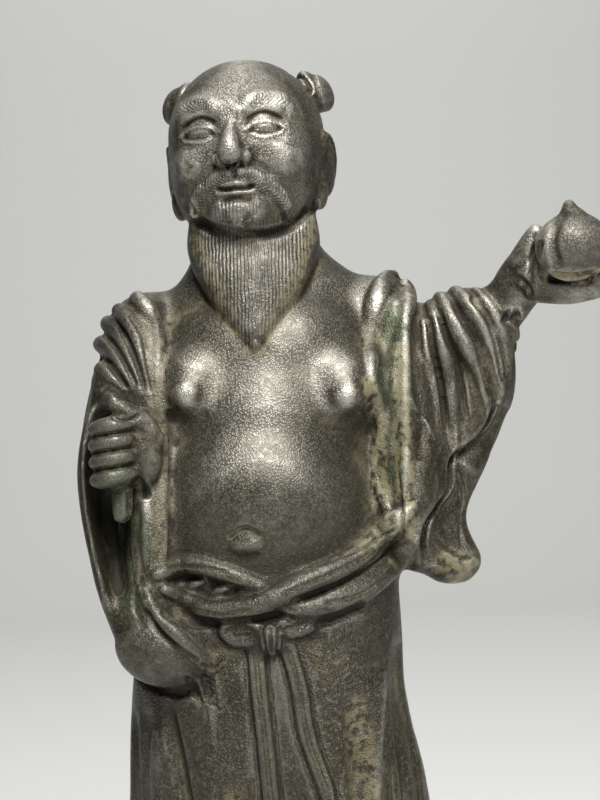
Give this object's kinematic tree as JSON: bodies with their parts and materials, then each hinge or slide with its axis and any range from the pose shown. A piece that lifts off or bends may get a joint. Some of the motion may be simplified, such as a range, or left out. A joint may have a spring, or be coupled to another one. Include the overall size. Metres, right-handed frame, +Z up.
{
  "type": "han zhongli statue",
  "caption": "Hollow-cast bronze figure of a robed, bare-bellied immortal with a long beard, who closes one fist and raises a peach, standing on a low oval base.",
  "frame": {"origin": "middle of the flat underside of the low oval base", "axes": "+Z up along the figure, -Y the way the figure faces, +X towards the raised hand with the peach"},
  "size_m": [0.1205, 0.06, 0.2296],
  "materials": {
    "bronze": "dark brown to black patinated bronze, grainy cast skin, olive dust in the hollows"
  },
  "bodies": {
    "root": {"statue": "bronze"}
  },
  "joints": []
}
